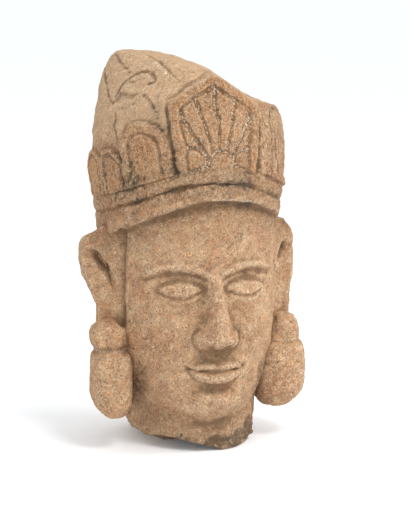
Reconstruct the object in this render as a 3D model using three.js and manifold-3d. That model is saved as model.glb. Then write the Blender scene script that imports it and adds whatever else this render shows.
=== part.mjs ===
// A weathered sandstone head with a tall petalled crown and heavy ear drops, broken off at the neck.
// Millimetres, +Z up. The face looks towards -Y and the origin is on the flat underside of the neck.
import * as THREE from 'three';
import { mergeVertices } from 'three/addons/utils/BufferGeometryUtils.js';
import Module from 'manifold-3d';

const wasm = await Module();
wasm.setup();

const { degToRad, smoothstep, clamp, lerp } = THREE.MathUtils;

// Driving dimensions of the block
const HEIGHT = 261; // underside of the neck to the highest point of the crown
const FACE_WIDTH = 113; // across the cheekbones
const CROWN_RADIUS = 61; // plain wall of the crown
const BACK_FACE = 55; // the back is dressed nearly flat, this far behind the axis
const EAR_SPAN = 154; // outer edge of one ear to the other
const BREAK_EDGE = 8; // the chipped corner under the neck starts this far to the figure's left of the axis
const HAIRLINE = 169.5; // lower edge of the crown over the forehead
const CHIN = 24; // lowest point of the chin

// Heights on the face, by equal thirds; a face is five eyes wide
const FACE_THIRD = (HAIRLINE - CHIN) / 3;
const BROW = HAIRLINE - FACE_THIRD;
const NOSE_BASE = BROW - FACE_THIRD;
const EYE_LINE = BROW - FACE_THIRD * 0.27;
const EYE_WIDTH = FACE_WIDTH / 5;
const MOUTH = NOSE_BASE - FACE_THIRD / 3;
const LIP_FOLD = MOUTH - FACE_THIRD * 0.27;

// The crown: a moulded band, a plaque over the forehead, three petals on each side
const BAND_HEIGHT = 19;
const BAND_DROP = 25; // how much lower the band runs over the ears
const CROWN_LEAN = 0.1; // it leans back by this much of its height
const PLAQUE = { footHalf: 26.5, shoulderHalf: 35.5, shoulder: 42, height: 62, stand: 5.5, frame: 8.5 };
// Leaves spread from a point under the band round a low hub, with a half leaf in each lower corner
const FAN = { leaves: 6, spread: degToRad(17), foot: -3, hub: 15 };
const HALF_LEAF = { x: 15, up: 8, across: 5.5, rise: 6.5 };
// Petals by the direction of their foot, minus to the figure's right; each leans away from the plaque
const PETALS = [
  { middle: degToRad(-42), half: 17, height: 38.5, lean: 0.13, border: 6, stand: 4.5 },
  { middle: degToRad(-62), half: 10.5, height: 26, lean: 0.4, border: 4, stand: 3.6 },
  { middle: degToRad(-86), half: 12, height: 29, lean: 0.3, border: 4, stand: 2.5 },
  { middle: degToRad(49), half: 21.5, height: 47, lean: 0.15, border: 11, stand: 4 },
  { middle: degToRad(80), half: 12.5, height: 43, lean: 0.2, border: 4, stand: 3.3 },
  { middle: degToRad(103), half: 10, height: 30, lean: 0.3, border: 4, stand: 2.5 },
];

// Ear drops: a bead, a thin ring and a long ball on each side, a little boxy; square is their power
const DROPS = [
  { x: -61, y: -21, z: 75, across: 13.4, deep: 13, up: 12.5, square: 2.5, segments: 12 },
  { x: -60.5, y: -22, z: 65, across: 12.3, deep: 14, up: 4.5, square: 2.4, segments: 10 },
  { x: -59.5, y: -23, z: 44, across: 14.8, deep: 18.5, up: 23.5, square: 2.7, segments: 15 },
  { x: 61, y: -20, z: 72, across: 12.8, deep: 12.5, up: 13.5, square: 2.5, segments: 12 },
  { x: 60, y: -21, z: 64, across: 13, deep: 14, up: 4.5, square: 2.4, segments: 10 },
  { x: 57.5, y: -22, z: 44, across: 18.8, deep: 20, up: 23.5, square: 2.5, segments: 15 },
];

const hump = (distance, width) => Math.exp(-((distance / width) ** 2));
const softMax = (a, b, blend) => (a + b + Math.hypot(a - b, blend)) / 2;
const softMin = (a, b, blend) => (a + b - Math.hypot(a - b, blend)) / 2;

// A smooth curve through [position, value] pairs, level at both ends.
function along(points, position) {
  const last = points.length - 1;
  if (position <= points[0][0]) return points[0][1];
  if (position >= points[last][0]) return points[last][1];
  const i = points.findIndex((p) => p[0] > position) - 1;
  const slope = (k) => (k <= 0 || k >= last ? 0
    : (points[k + 1][1] - points[k - 1][1]) / (points[k + 1][0] - points[k - 1][0]));
  const [p0, v0] = points[i];
  const [p1, v1] = points[i + 1];
  const step = p1 - p0;
  const t = (position - p0) / step;
  return v0 * (1 + 2 * t) * (1 - t) ** 2 + slope(i) * step * t * (1 - t) ** 2
    + v1 * t * t * (3 - 2 * t) + slope(i + 1) * step * t * t * (t - 1);
}

// Distance from the axis to an oval, in the direction theta: 0 is straight ahead, towards the face.
function ovalRadius(theta, halfWidth, front, back) {
  const half = (front + back) / 2;
  const centre = (back - front) / 2;
  const [s, c] = [Math.sin(theta), Math.cos(theta)];
  const a = (s / halfWidth) ** 2 + (c / half) ** 2;
  const b = (centre * c) / half ** 2;
  return (-b + Math.sqrt(b * b + a * (1 - (centre / half) ** 2))) / a;
}

// Plain forms of the head, as [height, size] pairs: the face, and the stone left behind the ears
const HALF = FACE_WIDTH / 2;
const FACE_HALF_WIDTH = [[CHIN - 8, HALF - 30], [CHIN, HALF - 27], [34, HALF - 17], [48, HALF - 9],
  [70, HALF - 3], [96, HALF], [125, HALF], [175, HALF + 1]];
const FACE_FRONT = [[CHIN - 8, 46], [CHIN, 55], [36, 60], [60, 60.5], [90, 60], [BROW, 59],
  [HAIRLINE + 8, 57]];
const NAPE_HALF_WIDTH = [[0, 36], [14, 38], [30, 52], [60, 57], [150, 57]];
const NECK = { halfWidth: 39, front: 51, back: 38, lobe: 4 };

function headRadius(theta, z) {
  const face = ovalRadius(theta, along(FACE_HALF_WIDTH, z), along(FACE_FRONT, z), 40);
  const lobe = NECK.lobe * (hump(theta - 0.85, 0.6) - 0.5 * hump(theta + 1.15, 0.5));
  const neck = ovalRadius(theta, NECK.halfWidth, NECK.front, NECK.back) + lobe;
  const nape = ovalRadius(theta, along(NAPE_HALF_WIDTH, z), 26, BACK_FACE + 2);
  return softMax(softMax(face, neck, 4), nape, 4);
}

// The foot of the crown's band: high over the forehead, low over the ears.
function bandFoot(theta) {
  return HAIRLINE - BAND_DROP * (1 - hump(theta, 1.05));
}

// How far the band's lower roll hangs below that, most at the figure's right.
function bandSag(theta) {
  return 1 + 5 * hump(theta + 1.2, 0.75);
}

const CROWN_WALL = [[137, CROWN_RADIUS - 1], [182, CROWN_RADIUS + 1], [212, CROWN_RADIUS],
  [HEIGHT, CROWN_RADIUS - 8]];
function crownRadius(theta, z) {
  const radius = along(CROWN_WALL, z);
  const lean = CROWN_LEAN * (z - 177);
  return -lean * Math.cos(theta) + Math.sqrt(radius ** 2 - (lean * Math.sin(theta)) ** 2);
}

// The broken top: nearly level on the figure's right, then a slope to its left front with a ledge below.
const BREAK = [[-45, HEIGHT], [-15, HEIGHT - 5], [0, HEIGHT - 9], [16, HEIGHT - 15], [29, HEIGHT - 24.5],
  [41, HEIGHT - 32.5], [52, HEIGHT - 36], [70, HEIGHT - 37]];
function topHeight(x, y) {
  return along(BREAK, 0.95 * x - 0.3 * y);
}

// The break under the neck: flat where it stands, rising to the figure's right and at its right front.
function underside(x, y) {
  const chipped = 0.24 * Math.max(0, BREAK_EDGE - x) * smoothstep(-y, 8, 32);
  return Math.max(0.33 * Math.max(0, -x - 18), chipped);
}

// Relief of the face, in millimetres out from the head, for a point x across and z up.
function nose(x, z) {
  const root = BROW - 4;
  const tip = NOSE_BASE + 6;
  const ridge = along([[NOSE_BASE - 4, 0], [NOSE_BASE + 1, 10], [tip, 16.5], [(tip + root) / 2, 9.5],
    [root, 3], [BROW + 10, 0]], z);
  const halfWidth = along([[NOSE_BASE, 8.5], [tip + 4, 8], [tip + 18, 6.5], [root, 6]], z);
  const wings = 7 * hump(Math.abs(x) - 9.5, 4.4) * hump(z - NOSE_BASE - 5, 5.4);
  return ridge * Math.exp(-(Math.abs(x / halfWidth) ** 2.4)) + wings;
}

function eyes(x, z) {
  const across = Math.abs(x) - EYE_WIDTH;
  const up = z - EYE_LINE;
  const socket = -4.5 * hump(across + 2, 15) * hump(up - 3, 11) - 2 * hump(Math.abs(x) - 10, 5) * hump(up, 8);
  const ball = 1 - (across / (EYE_WIDTH * 0.62)) ** 2 - (up / 9) ** 2;
  const browLine = BROW + 5.5 * Math.sin(Math.PI * clamp((Math.abs(x) - 2) / 46, 0, 1)) - 3;
  const browFade = smoothstep(50 - Math.abs(x), 0, 12) * smoothstep(Math.abs(x), 2, 8);
  return socket + 6.5 * Math.max(ball, 0) + 2 * hump(z - browLine, 3.6) * browFade;
}

function mouth(x, z) {
  const half = EYE_WIDTH * 0.8;
  const taper = Math.sqrt(Math.max(1 - (x / half) ** 2, 0));
  const up = z - MOUTH - 1.5 * (x / half) ** 2;
  const upper = 4 * taper * hump(up - 4, 3.2);
  const lower = 4.6 * taper * hump(up + 4.6, 3.6);
  const mound = 3 * hump(x, 24) * hump(up, 16);
  const fold = -2 * hump(x, 15) * hump(z - LIP_FOLD, 4.5);
  return upper + lower + mound + fold;
}

function faceRelief(x, z) {
  const cheeks = 2.5 * hump(Math.abs(x) - 31, 14) * hump(z - NOSE_BASE - 10, 18);
  const chin = 5 * hump(x, 14) * hump(z - CHIN - 10, 9);
  return nose(x, z) + eyes(x, z) + mouth(x, z) + cheeks + chin;
}

// The band is two rolls with a groove between them, the upper one bolder; they flatten towards the ears.
function bandRelief(theta, z) {
  const up = (z - bandFoot(theta)) / BAND_HEIGHT;
  const lip = -bandSag(theta) / BAND_HEIGHT - 0.03;
  const roll = (from, to) => Math.sqrt(Math.max(0, 1 - ((2 * up - from - to) / (to - from)) ** 2));
  const bold = 0.3 + 0.7 * hump(theta + 0.25, 1.15);
  return bold * Math.max(3.8 * roll(lip, 0.44), 5 * roll(0.44, 1.03)) + (1 - bold);
}

// The whole stone's distance from its axis, below the rim of the crown.
function stoneRadius(theta, z) {
  const head = headRadius(theta, z);
  const face = head + smoothstep(Math.cos(theta), 0.1, 0.5) * faceRelief(head * Math.sin(theta), z);
  const crown = crownRadius(theta, z) + bandRelief(theta, z);
  const radius = lerp(face, crown, smoothstep(z - bandFoot(theta) + bandSag(theta), -1, 1));
  const flat = Math.cos(theta) < -0.2 ? -BACK_FACE / Math.cos(theta) : 4 * BACK_FACE;
  return softMin(radius, flat, 6);
}

// How far the lower edge of the neck is worn round, most at the figure's left front.
function neckEdge(theta) {
  return 4 + 4 * hump(theta - degToRad(50), degToRad(28)) + hump(theta + degToRad(62), degToRad(42));
}

// How far the rim of the crown is worn round: a little at the figure's left, and deeply at its right front.
function rimWear(theta) {
  return 5 + 20 * hump(theta + degToRad(76), degToRad(57));
}

// A closed body from rings of points that turn from -X past the front to +X, with a point at each end.
function closedSurface(rings, firstPoint, lastPoint) {
  const columns = rings[0].length;
  const positions = [firstPoint, ...rings.flat(), lastPoint].flat();
  const at = (row, column) => 1 + row * columns + (column % columns);
  const index = [];
  for (let c = 0; c < columns; c += 1) {
    index.push(0, at(0, c + 1), at(0, c));
    for (let r = 0; r < rings.length - 1; r += 1) {
      index.push(at(r, c), at(r, c + 1), at(r + 1, c));
      index.push(at(r, c + 1), at(r + 1, c + 1), at(r + 1, c));
    }
    index.push(at(rings.length - 1, c), at(rings.length - 1, c + 1), at(rings.length, 0));
  }
  const geometry = new THREE.BufferGeometry();
  geometry.setAttribute('position', new THREE.Float32BufferAttribute(positions, 3));
  geometry.setIndex(index);
  return geometry;
}

const onCrown = (radius, theta, z) => [radius * Math.sin(theta), -radius * Math.cos(theta), z];
const range = (count) => Array.from({ length: count }, (_, i) => i);

// The head, neck and plain crown in one surface of rings; columns are closest over the face.
const COLUMNS = 48;
const ROWS = { base: 3, neck: 3, face: 29, band: 6, wall: 4, rim: 3, top: 2 };

function stoneBlock() {
  const turns = range(COLUMNS).map((c) => {
    const t = (2 * c) / COLUMNS - 1;
    return Math.PI * (0.42 * t + 0.58 * t ** 3);
  });
  const rings = [];
  const ring = (place) => rings.push(turns.map((theta) => {
    const [radius, z] = place(theta);
    return onCrown(radius, theta, z);
  }));
  const span = (count, from, to) => range(count).forEach((i) => ring((theta) => {
    const z = lerp(from(theta), to(theta), i / count);
    return [stoneRadius(theta, z), z];
  }));
  const rimHeight = (theta) => {
    const [x, y] = onCrown(crownRadius(theta, HEIGHT - 25) - rimWear(theta), theta, 0);
    return topHeight(x, y);
  };
  const rimStart = (theta) => rimHeight(theta) - 1.35 * rimWear(theta);

  const baseEdge = (theta) => stoneRadius(theta, neckEdge(theta)) - neckEdge(theta);
  const baseHeight = (theta, share = 1) => underside(...onCrown(baseEdge(theta) * share, theta, 0));
  const neckStart = (theta) => baseHeight(theta) + neckEdge(theta);
  range(ROWS.base).forEach((i) => ring((theta) => {
    const share = (i + 1) / (ROWS.base + 1);
    return [baseEdge(theta) * share, baseHeight(theta, share)];
  }));
  range(3).forEach((i) => ring((theta) => {
    const angle = (i / 3) * (Math.PI / 2);
    return [baseEdge(theta) + neckEdge(theta) * Math.sin(angle),
      lerp(neckStart(theta), baseHeight(theta), Math.cos(angle))];
  }));
  span(ROWS.neck, neckStart, () => CHIN);
  const lip = (theta) => bandFoot(theta) - bandSag(theta) - 1;
  span(ROWS.face, () => CHIN, lip);
  span(ROWS.band, lip, (theta) => bandFoot(theta) + BAND_HEIGHT);
  span(ROWS.wall, (theta) => bandFoot(theta) + BAND_HEIGHT, rimStart);
  range(ROWS.rim).forEach((i) => ring((theta) => {
    const angle = (i / ROWS.rim) * (Math.PI / 2);
    return [stoneRadius(theta, rimStart(theta)) - rimWear(theta) * (1 - Math.cos(angle)),
      lerp(rimStart(theta), rimHeight(theta), Math.sin(angle))];
  }));
  range(ROWS.top).forEach((i) => ring((theta) => {
    const share = 1 - i / ROWS.top;
    const edge = stoneRadius(theta, rimStart(theta)) - rimWear(theta);
    const [x, y] = onCrown(edge * share, theta, 0);
    const [edgeX, edgeY] = onCrown(edge, theta, 0);
    return [edge * share, topHeight(x, y) + (rimHeight(theta) - topHeight(edgeX, edgeY)) * share];
  }));
  return closedSurface(rings, [0, 0, 0], [0, 0, topHeight(0, 0)]);
}

// A curved slab on the crown: place(s, t) gives millimetres across and up from the foot of the petals,
// stand(s, t) millimetres out from the wall, for s from -1 to 1 across and t from 0 to 1 up.
// Its inner face is at sink, out from the wall.
function panel(theta0, across, up, place, stand, sink = -8) {
  const foot = bandFoot(theta0) + BAND_HEIGHT - 2;
  const point = (s, t, out) => {
    const [u, v] = place(s, t);
    const theta = theta0 + u / CROWN_RADIUS;
    return onCrown(crownRadius(theta, foot + v) + out, theta, foot + v);
  };
  const rings = up.map((t) => [
    ...across.map((s) => point(s, t, stand(s, t))),
    ...across.map((s) => point(-s, t, sink)),
  ]);
  const end = (t) => point(0, t, (stand(0, t) + sink) / 2);
  return closedSurface(rings, end(up[0]), end(up[up.length - 1]));
}

// A petal: leaning straight sides, a round arched head, a border and a swelling middle.
function petal({ middle, half, height, lean, border, stand: proud }) {
  const rise = Math.min(half, 16) * 1.05;
  const spring = height + 2 - rise;
  const straight = 0.35;
  const place = (s, t) => {
    const angle = Math.max(0, (t - straight) / (1 - straight)) * (Math.PI / 2) * 0.97;
    const up = t < straight ? (spring * t) / straight : spring + rise * Math.sin(angle);
    return [s * half * Math.cos(angle) + Math.sign(middle) * lean * up, up];
  };
  const edge = 1 - border / half;
  const stand = (s, t) => {
    const reach = Math.max(Math.abs(s), t);
    const groove = 1.7 * hump(reach - edge, 1.6 / half);
    return proud - smoothstep(reach, 0.88, 1) - groove - 0.8 * t;
  };
  const across = [-1, -0.88, -edge, 0, edge, 0.88, 1];
  return panel(middle, across, [0, straight, 0.54, 0.7, 0.86, 1], place, stand);
}

// The plaque is a five-sided leaf, wider at its shoulders than at its foot, turned a little off the nose.
const PLAQUE_TURN = degToRad(1);
const ROOF_SLOPE = (PLAQUE.height - PLAQUE.shoulder) / PLAQUE.shoulderHalf;
const SIDE_SLOPE = (PLAQUE.shoulderHalf - PLAQUE.footHalf) / PLAQUE.shoulder;

// A five-sided sheet with the plaque's outline drawn in by inset, standing out by the given amount.
function plaqueSheet(inset, from, stand, sink) {
  const place = (s, t) => {
    const roof = PLAQUE.height - inset * Math.hypot(1, ROOF_SLOPE);
    const foot = PLAQUE.footHalf - inset + SIDE_SLOPE * from;
    const shoulder = (foot + SIDE_SLOPE * (roof - from)) / (1 + SIDE_SLOPE * ROOF_SLOPE);
    const top = roof - ROOF_SLOPE * Math.abs(s) * shoulder;
    return [s * lerp(foot, shoulder, t), lerp(from, top, t)];
  };
  const across = range(11).map((i) => i / 5 - 1);
  return panel(PLAQUE_TURN, across, range(6).map((i) => i / 5), place, stand, sink);
}

// One leaf of the fan, from the hub to the plaque's frame, tilted by turn.
function fanLeaf(turn, halfTurn) {
  const gap = 1.2;
  const reach = (angle) => {
    const [across, up] = [Math.abs(Math.sin(angle)), Math.cos(angle)];
    const inset = PLAQUE.frame + gap;
    const side = PLAQUE.footHalf - inset + SIDE_SLOPE * FAN.foot;
    const toSide = side / Math.max(across - SIDE_SLOPE * up, 0.01);
    const roof = PLAQUE.height - inset * Math.hypot(1, ROOF_SLOPE) - FAN.foot;
    return Math.min(toSide, roof / (up + ROOF_SLOPE * across));
  };
  const place = (s, t) => {
    const angle = turn + s * halfTurn;
    const away = lerp(FAN.hub + gap, reach(angle), t);
    return [away * Math.sin(angle), FAN.foot + away * Math.cos(angle)];
  };
  const stand = (s, t) => PLAQUE.stand - 2 + 1.6 * (1 - s * s) - 0.6 * smoothstep(t, 0.8, 1);
  return panel(PLAQUE_TURN, [-1, -0.5, 0, 0.5, 1], [0, 0.3, 0.65, 1], place, stand);
}

// A low half-round knob: the hub of the fan, or the half leaf in a lower corner of the plaque.
function knob(x, foot, across, rise) {
  const quarter = degToRad(86);
  const place = (s, t) => [x + s * across * Math.cos(t * quarter), foot + rise * Math.sin(t * quarter)];
  const stand = (s, t) => PLAQUE.stand - 0.8 - t - 0.6 * s * s;
  return panel(PLAQUE_TURN, [-1, -0.5, 0, 0.5, 1], [0, 0.3, 0.6, 1], place, stand);
}

// An ear: a plate that slants out from the cheek, with a rolled rim round a slanting hollow. The figure's
// right ear narrows to its lobe, and the left one stays broad all the way down.
const EAR = {
  foot: 81,
  top: 148,
  right: [[81, 16], [90, 19], [102, 25], [116, 32], [128, 34], [139, 31], [148, 17]],
  left: [[81, 27], [90, 29], [102, 31], [116, 33.5], [128, 34], [139, 31], [148, 17]],
};
function ear(side) {
  const width = side > 0 ? EAR.left : EAR.right;
  const outward = [0.75, 0.66];
  const facing = [0.66, -0.75];
  const root = [EAR_SPAN / 2 - 26, -23];
  const fullWidth = 34;
  const point = (s, z, depth) => {
    const reach = s * along(width, z);
    const x = root[0] + outward[0] * reach + facing[0] * depth;
    const y = root[1] + outward[1] * reach + facing[1] * depth;
    return [side * x, y, z];
  };
  const front = (s, z) => {
    const t = (z - EAR.foot) / (EAR.top - EAR.foot);
    const reach = (s * along(width, z)) / fullWidth;
    const slotFade = smoothstep(t, 0.32, 0.45) * smoothstep(0.8 - t, 0, 0.12);
    const slot = -5 * hump(reach - 0.19 - 1.1 * Math.max(0, t - 0.35), 0.09) * slotFade;
    return 2 + slot + 1.5 * hump(s - 0.8, 0.3) - 3 * smoothstep(s, 0.8, 1);
  };
  const across = range(8).map((i) => i / 7);
  const heights = range(12).map((i) => lerp(EAR.foot, EAR.top, i / 11));
  const rings = heights.map((z) => {
    const loop = [
      ...across.map((s) => point(s, z, front(s, z))),
      ...across.map((s) => point(1 - s, z, -6 - 8 * s)),
    ];
    return side > 0 ? loop : loop.reverse();
  });
  return closedSurface(rings, point(0.4, EAR.foot, -4), point(0.4, EAR.top, -4));
}

// A drop: a ball pulled out towards a box, then stretched.
function earDrop({ x, y, z, across, deep, up, square, segments }) {
  const drop = new THREE.SphereGeometry(1, segments, Math.round(segments * 0.7));
  drop.rotateX(Math.PI / 2);
  const points = drop.attributes.position;
  for (let i = 0; i < points.count; i += 1) {
    const point = [points.getX(i), points.getY(i), points.getZ(i)];
    const size = point.reduce((sum, value) => sum + Math.abs(value) ** square, 0) ** (1 / square);
    points.setXYZ(i, ...point.map((value) => value / size));
  }
  drop.scale(across, deep, up);
  drop.translate(x, y, z);
  return drop;
}

// Joining and cutting closed bodies
function solid(geometry) {
  geometry.deleteAttribute('normal');
  geometry.deleteAttribute('uv');
  const merged = mergeVertices(geometry, 1e-4);
  return new wasm.Manifold(new wasm.Mesh({
    numProp: 3,
    vertProperties: new Float32Array(merged.attributes.position.array),
    triVerts: new Uint32Array(merged.index.array),
  }));
}

function carve() {
  let stone = solid(stoneBlock());
  const join = (geometry) => { stone = stone.add(solid(geometry)); };

  PETALS.forEach((size) => join(petal(size)));
  [-1, 1].forEach((side) => join(ear(side)));
  DROPS.forEach((size) => join(earDrop(size)));

  join(plaqueSheet(0, 0, () => PLAQUE.stand));
  stone = stone.subtract(solid(plaqueSheet(PLAQUE.frame, 2, () => 30, PLAQUE.stand - 2.5)));
  range(FAN.leaves).forEach((i) => {
    join(fanLeaf((i - (FAN.leaves - 1) / 2) * FAN.spread, FAN.spread * 0.43));
  });
  join(knob(0, 1, FAN.hub * 0.7, FAN.hub + FAN.foot - 1.5));
  [-1, 1].forEach((side) => {
    join(knob(side * HALF_LEAF.x, HALF_LEAF.up - HALF_LEAF.rise, HALF_LEAF.across, 2 * HALF_LEAF.rise));
  });
  return stone;
}

const mesh = carve().getMesh();
const geometry = new THREE.BufferGeometry();
geometry.setAttribute('position', new THREE.BufferAttribute(mesh.vertProperties, 3));
geometry.setIndex(new THREE.BufferAttribute(mesh.triVerts, 1));
geometry.computeVertexNormals();

const sandstone = new THREE.MeshStandardMaterial({ color: '#b98d66', roughness: 0.92, metalness: 0 });
const head = new THREE.Mesh(geometry, sandstone);
head.name = 'sandstone_head';

const part = new THREE.Group();
part.add(head);
export default part;
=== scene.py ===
import math

import bpy
import numpy as np
from mathutils import Matrix, Vector


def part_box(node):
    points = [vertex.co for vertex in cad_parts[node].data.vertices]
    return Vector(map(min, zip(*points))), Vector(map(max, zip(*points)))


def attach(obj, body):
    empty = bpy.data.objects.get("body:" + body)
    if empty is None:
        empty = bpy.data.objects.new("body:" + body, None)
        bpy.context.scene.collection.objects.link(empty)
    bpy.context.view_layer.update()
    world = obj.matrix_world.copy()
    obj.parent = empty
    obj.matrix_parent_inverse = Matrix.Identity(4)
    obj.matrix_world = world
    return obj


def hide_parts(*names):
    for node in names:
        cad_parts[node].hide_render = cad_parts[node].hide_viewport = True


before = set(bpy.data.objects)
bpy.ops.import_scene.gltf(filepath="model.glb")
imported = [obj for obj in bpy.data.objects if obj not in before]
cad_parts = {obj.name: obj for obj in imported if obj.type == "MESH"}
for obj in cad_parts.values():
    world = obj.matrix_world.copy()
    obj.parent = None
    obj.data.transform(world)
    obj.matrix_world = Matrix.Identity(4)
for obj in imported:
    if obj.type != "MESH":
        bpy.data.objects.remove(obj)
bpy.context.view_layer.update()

# The block: head, neck and crown are one piece of fine sandstone, carved in the round and plain at the back.
# It is drawn as one surface, a distance from an upright axis for every direction and height.
# Sizes here are millimetres. The face looks towards -Y, and direction 0 is straight ahead.
NODE = "sandstone_head"
MM = 0.001
node_low, node_high = (np.array(corner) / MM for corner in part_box(NODE))
FACE_WIDTH = 113.0
CROWN_RADIUS = 61.0
BACK_FACE = node_high[1] + 0.4
HAIRLINE = 169.5
CHIN = 24.0
FACE_THIRD = (HAIRLINE - CHIN) / 3
BROW = HAIRLINE - FACE_THIRD
NOSE_BASE = BROW - FACE_THIRD
EYE_WIDTH = FACE_WIDTH / 5
EYE_LINE = BROW - FACE_THIRD * 0.27
MOUTH = NOSE_BASE - FACE_THIRD / 3
LIP_FOLD = MOUTH - FACE_THIRD * 0.27


def hump(distance, width):
    """A bell: 1 at no distance, exp(-1) at one width."""
    return np.exp(-((distance / width) ** 2))


def ramp(value, start, end):
    """A smooth step from 0 at start to 1 at end."""
    t = np.clip((value - start) / (end - start), 0, 1)
    return t * t * (3 - 2 * t)


def soft_max(a, b, blend):
    """The larger of two values, rounded where they cross: (a + b + hypot(a - b, blend)) / 2."""
    return (a + b + np.hypot(a - b, blend)) / 2


def soft_min(a, b, blend):
    """The smaller of two values, rounded where they cross."""
    return -soft_max(-a, -b, blend)


def along(points, position):
    """A smooth curve through (position, value) pairs: cubic pieces whose slope at each point is the
    slope between its neighbours, and level at both ends."""
    at, value = np.array(points, float).T
    slope = np.zeros_like(value)
    slope[1:-1] = (value[2:] - value[:-2]) / (at[2:] - at[:-2])
    place = np.clip(position, at[0], at[-1])
    i = np.clip(np.searchsorted(at, place, side="right") - 1, 0, len(at) - 2)
    step = at[i + 1] - at[i]
    t = (place - at[i]) / step
    return (value[i] * (1 + 2 * t) * (1 - t) ** 2 + slope[i] * step * t * (1 - t) ** 2
            + value[i + 1] * t * t * (3 - 2 * t) + slope[i + 1] * step * t * t * (t - 1))


def cloud(points, size, seed):
    """Smooth noise from -1 to 1: seeded random values on a cubic lattice of the given size, blended
    between the eight corners of each cell with smooth steps. The lattice repeats after 64 cells."""
    values = np.random.default_rng(seed).uniform(-1, 1, (64, 64, 64))
    place = points / size + 20.5
    cell = np.floor(place).astype(int)
    t = place - cell
    t = t * t * (3 - 2 * t)
    total = 0
    for corner in np.ndindex(2, 2, 2):
        weight = np.prod(np.where(corner, t, 1 - t), axis=-1)
        i, j, k = np.moveaxis((cell + corner) % 64, -1, 0)
        total = total + weight * values[i, j, k]
    return total


def oval_radius(theta, half_width, front, back):
    """Distance from the axis to an ellipse that reaches half_width to the sides, front and back."""
    half = (front + back) / 2
    centre = (back - front) / 2
    a = (np.sin(theta) / half_width) ** 2 + (np.cos(theta) / half) ** 2
    b = centre * np.cos(theta) / half ** 2
    return (-b + np.sqrt(b * b + a * (1 - (centre / half) ** 2))) / a


HALF = FACE_WIDTH / 2
FACE_HALF_WIDTH = [(CHIN - 8, HALF - 30), (CHIN, HALF - 27), (34, HALF - 17), (48, HALF - 9),
                   (70, HALF - 3), (96, HALF), (125, HALF), (175, HALF + 1)]
FACE_FRONT = [(CHIN - 8, 46), (CHIN, 55), (36, 60), (60, 60.5), (90, 60), (BROW, 59), (HAIRLINE + 8, 57)]
NAPE_HALF_WIDTH = [(0, 36), (14, 38), (30, 52), (60, 57), (150, 57)]
FACE_BACK, NAPE_FRONT = 40, 26
NECK = dict(half_width=39, front=51, back=38)


def head_radius(theta, z):
    """The plain head: the larger of the face's oval, the neck's oval and the stone left behind the ears.
    The neck is fuller by a bell at its left front and thinner by a bell at its right."""
    face = oval_radius(theta, along(FACE_HALF_WIDTH, z), along(FACE_FRONT, z), FACE_BACK)
    neck = oval_radius(theta, **NECK) + 4 * hump(theta - 0.85, 0.6) - 2 * hump(theta + 1.15, 0.5)
    nape = oval_radius(theta, along(NAPE_HALF_WIDTH, z), NAPE_FRONT, BACK_FACE + 2)
    return soft_max(soft_max(face, neck, 4), nape, 4)


def nose(x, z):
    """A ridge that rises from the root to the tip, with a round bridge, two wings and shallow nostrils."""
    root, tip = BROW - 4, NOSE_BASE + 6
    ridge = along([(NOSE_BASE - 4, 0), (NOSE_BASE + 0.5, 9.5), (tip, 16), ((tip + root) / 2, 9.5),
                   (root, 3), (BROW + 10, 0)], z)
    half_width = along([(NOSE_BASE, 9), (tip + 4, 8), (tip + 18, 6.5), (root, 6)], z)
    wing = 6.5 * hump(np.abs(x) - 9.3, 4.2) * hump(z - NOSE_BASE - 5.2, 5.2)
    nostril = -3 * hump(np.abs(x) - 5, 2.2) * hump(z - NOSE_BASE - 0.3, 1.8)
    crease = -1.2 * hump(np.hypot(np.abs(x) - 9, z - NOSE_BASE - 5) - 6.8, 1.3) * ramp(np.abs(x), 8, 12)
    return ridge * np.exp(-np.abs(x / half_width) ** 2.4) + wing + nostril + crease


def brow_line(x):
    """The brow's height: a half sine arch from the root of the nose to the temple."""
    return BROW - 3 + 5.5 * np.sin(np.pi * np.clip((np.abs(x) - 2) / 46, 0, 1))


def lid_line(across):
    """The closed lids meet on a shallow curve that hangs below the middle of the eye."""
    return EYE_LINE - 3.6 + 0.02 * across ** 2


def eyes(x, z):
    """A hollow socket, a round eyeball under an almond-shaped closed lid with a fold above it and a slit
    below, and a raised arched brow."""
    across = np.abs(x) - EYE_WIDTH
    up = z - EYE_LINE
    half = EYE_WIDTH * 0.68
    socket = -5 * hump(across + 2, 16) * hump(up - 3, 12) - 2 * hump(np.abs(x) - 10, 5) * hump(up, 8)
    ball = 6.6 * hump(across, 12.5) * hump(up + 0.5, 8.6)
    almond = np.clip(1 - (across / half) ** 2, 0, 1)
    lid_top = lid_line(across) + 10.5 * almond
    lid_foot = lid_line(across) - 3.6 * almond
    open_eye = ramp(almond, 0.0, 0.25)
    lid = 1.5 * ramp(z, lid_line(across) - 0.4, lid_line(across) + 0.6)
    lid = lid * ramp(lid_top - z, -0.2, 1.6) * open_eye
    fold = -1.0 * hump(z - lid_top - 0.9, 1.1) * open_eye
    slit = -1.1 * hump(z - lid_line(across), 0.8) * open_eye
    lower = 0.7 * hump(z - lid_foot, 1.2) * open_eye
    corner = -1.3 * hump(np.abs(across) - half, 2.2) * hump(z - lid_line(across), 2.2)
    fade = ramp(50 - np.abs(x), 0, 12) * ramp(np.abs(x), 2, 8)
    brow = 2.3 * hump(z - brow_line(x), 2.8) - 0.9 * hump(z - brow_line(x) + 4.0, 1.4)
    return socket + ball + lid + fold + slit + lower + corner + brow * fade


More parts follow.
